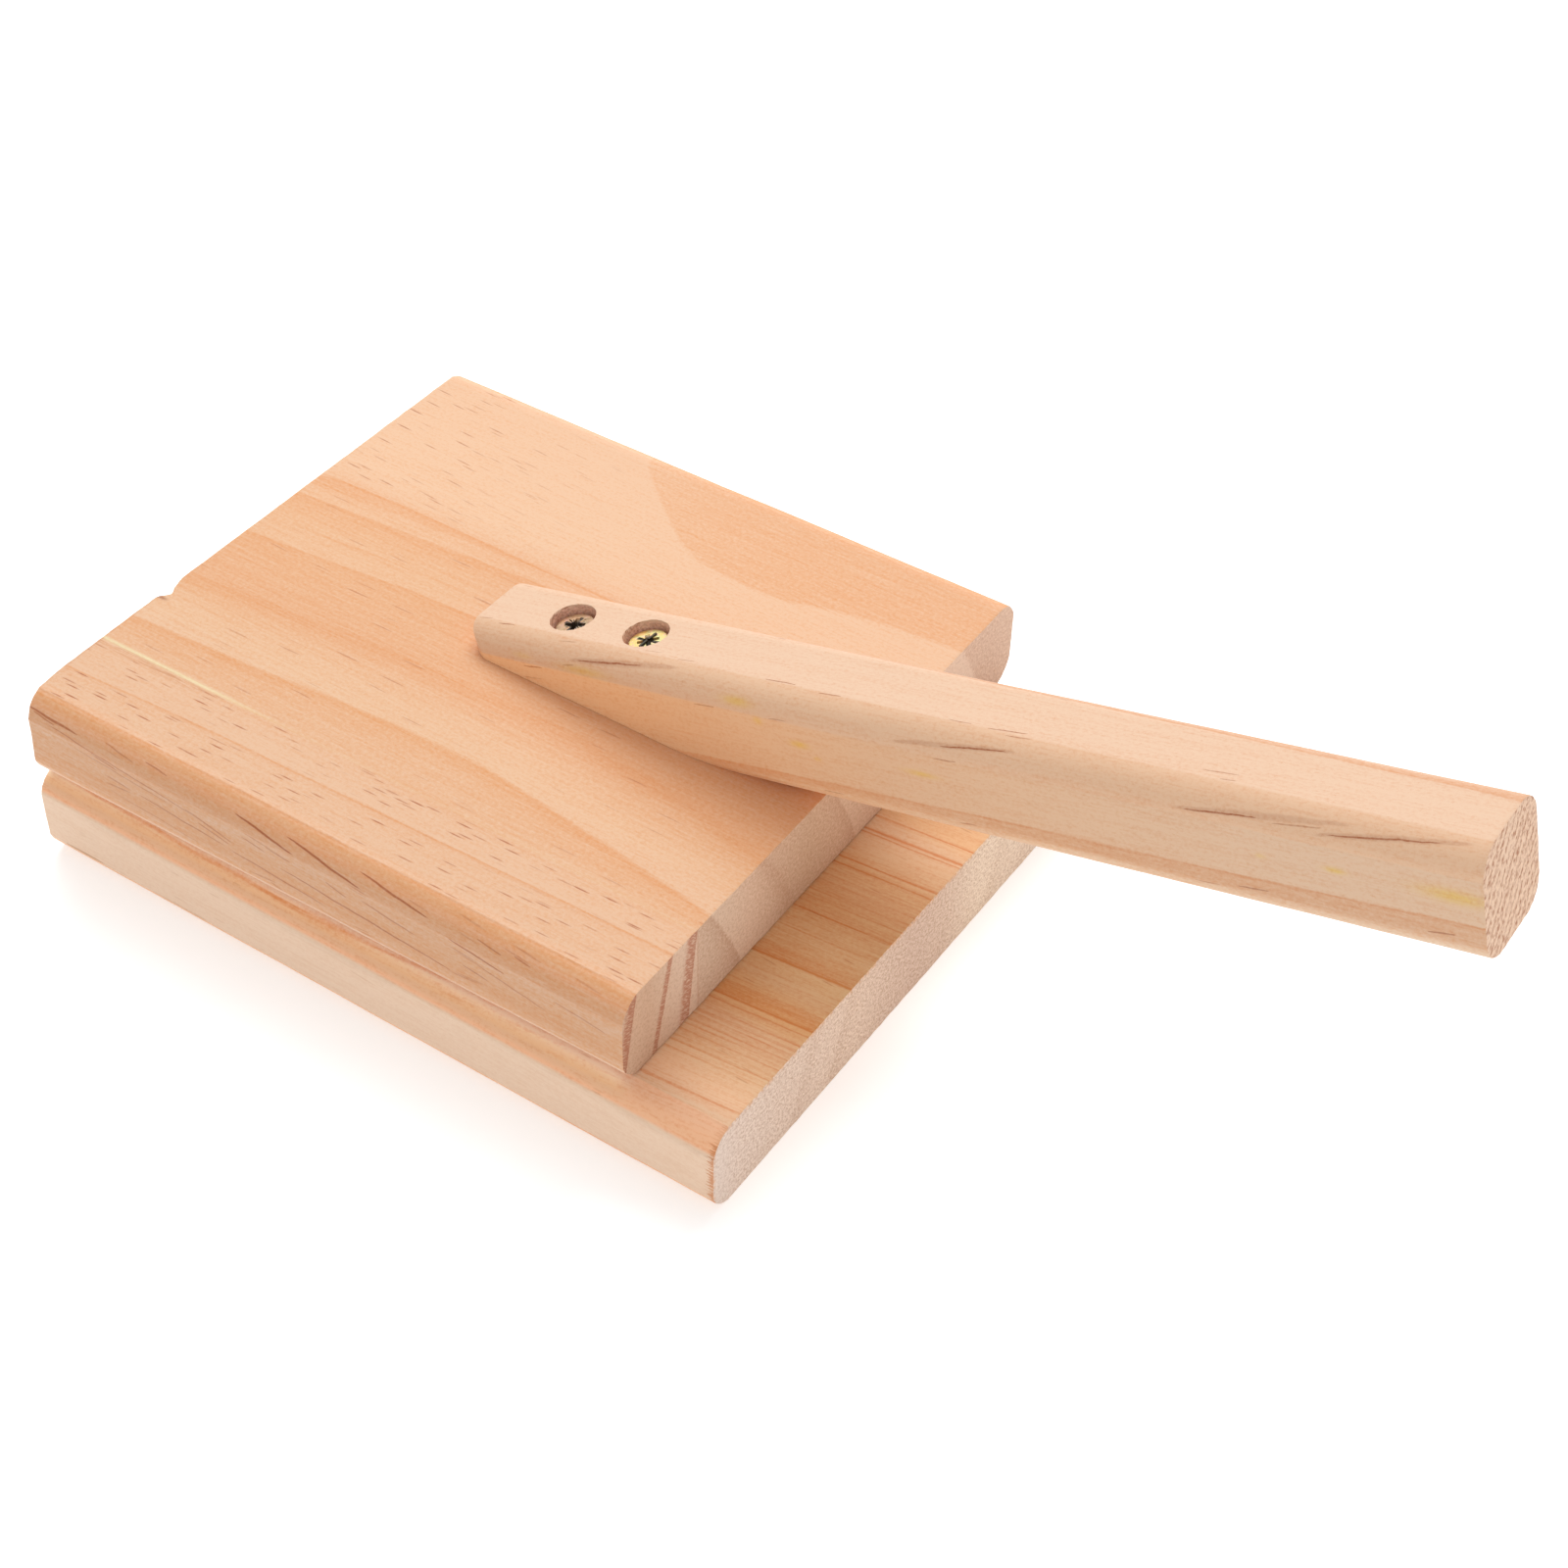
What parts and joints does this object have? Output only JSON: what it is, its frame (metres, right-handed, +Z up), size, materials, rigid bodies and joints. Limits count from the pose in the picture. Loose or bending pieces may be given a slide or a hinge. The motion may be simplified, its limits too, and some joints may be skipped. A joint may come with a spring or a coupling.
{
  "type": "hinged wooden hand press",
  "caption": "Hinged hand press: an upper pine board swings down onto a base board by a rising square handle screwed to its top, flattening soft food between them.",
  "frame": {"origin": "centre of the base board's underside, the face the press rests on", "axes": "+X along the grain from the hinges towards the handle's free end, +Y across the boards, +Z up"},
  "size_m": [0.2699, 0.1353, 0.097],
  "materials": {
    "pine_base": "bare sanded pine, unvarnished",
    "pine_lid": "bare sanded pine, unvarnished",
    "pine_handle": "bare sanded pine, rough sawn at the free end",
    "yellow_zinc": "steel with a yellow zinc plating, slightly iridescent",
    "hinge_steel": "thin pressed steel with a yellow plating"
  },
  "bodies": {
    "base": {"base_board": "pine_base", "front_hinge_lower_leaf": "hinge_steel", "front_hinge_pin": "hinge_steel", "front_hinge_lower_screw_1": "yellow_zinc", "front_hinge_lower_screw_2": "yellow_zinc", "back_hinge_lower_leaf": "hinge_steel", "back_hinge_pin": "hinge_steel", "back_hinge_lower_screw_1": "yellow_zinc", "back_hinge_lower_screw_2": "yellow_zinc"},
    "press_plate": {"upper_board": "pine_lid", "handle": "pine_handle", "handle_screw_inner": "yellow_zinc", "handle_screw_outer": "yellow_zinc", "front_hinge_upper_leaf": "hinge_steel", "front_hinge_upper_screw_1": "yellow_zinc", "front_hinge_upper_screw_2": "yellow_zinc", "back_hinge_upper_leaf": "hinge_steel", "back_hinge_upper_screw_1": "yellow_zinc", "back_hinge_upper_screw_2": "yellow_zinc"}
  },
  "joints": [
    {"name": "press_hinge", "type": "hinge", "parent": "base", "child": "press_plate", "pos_m": [-0.0824, 0, 0.0201], "axis": [0, -1, 0], "range_deg": [0, 165]}
  ]
}
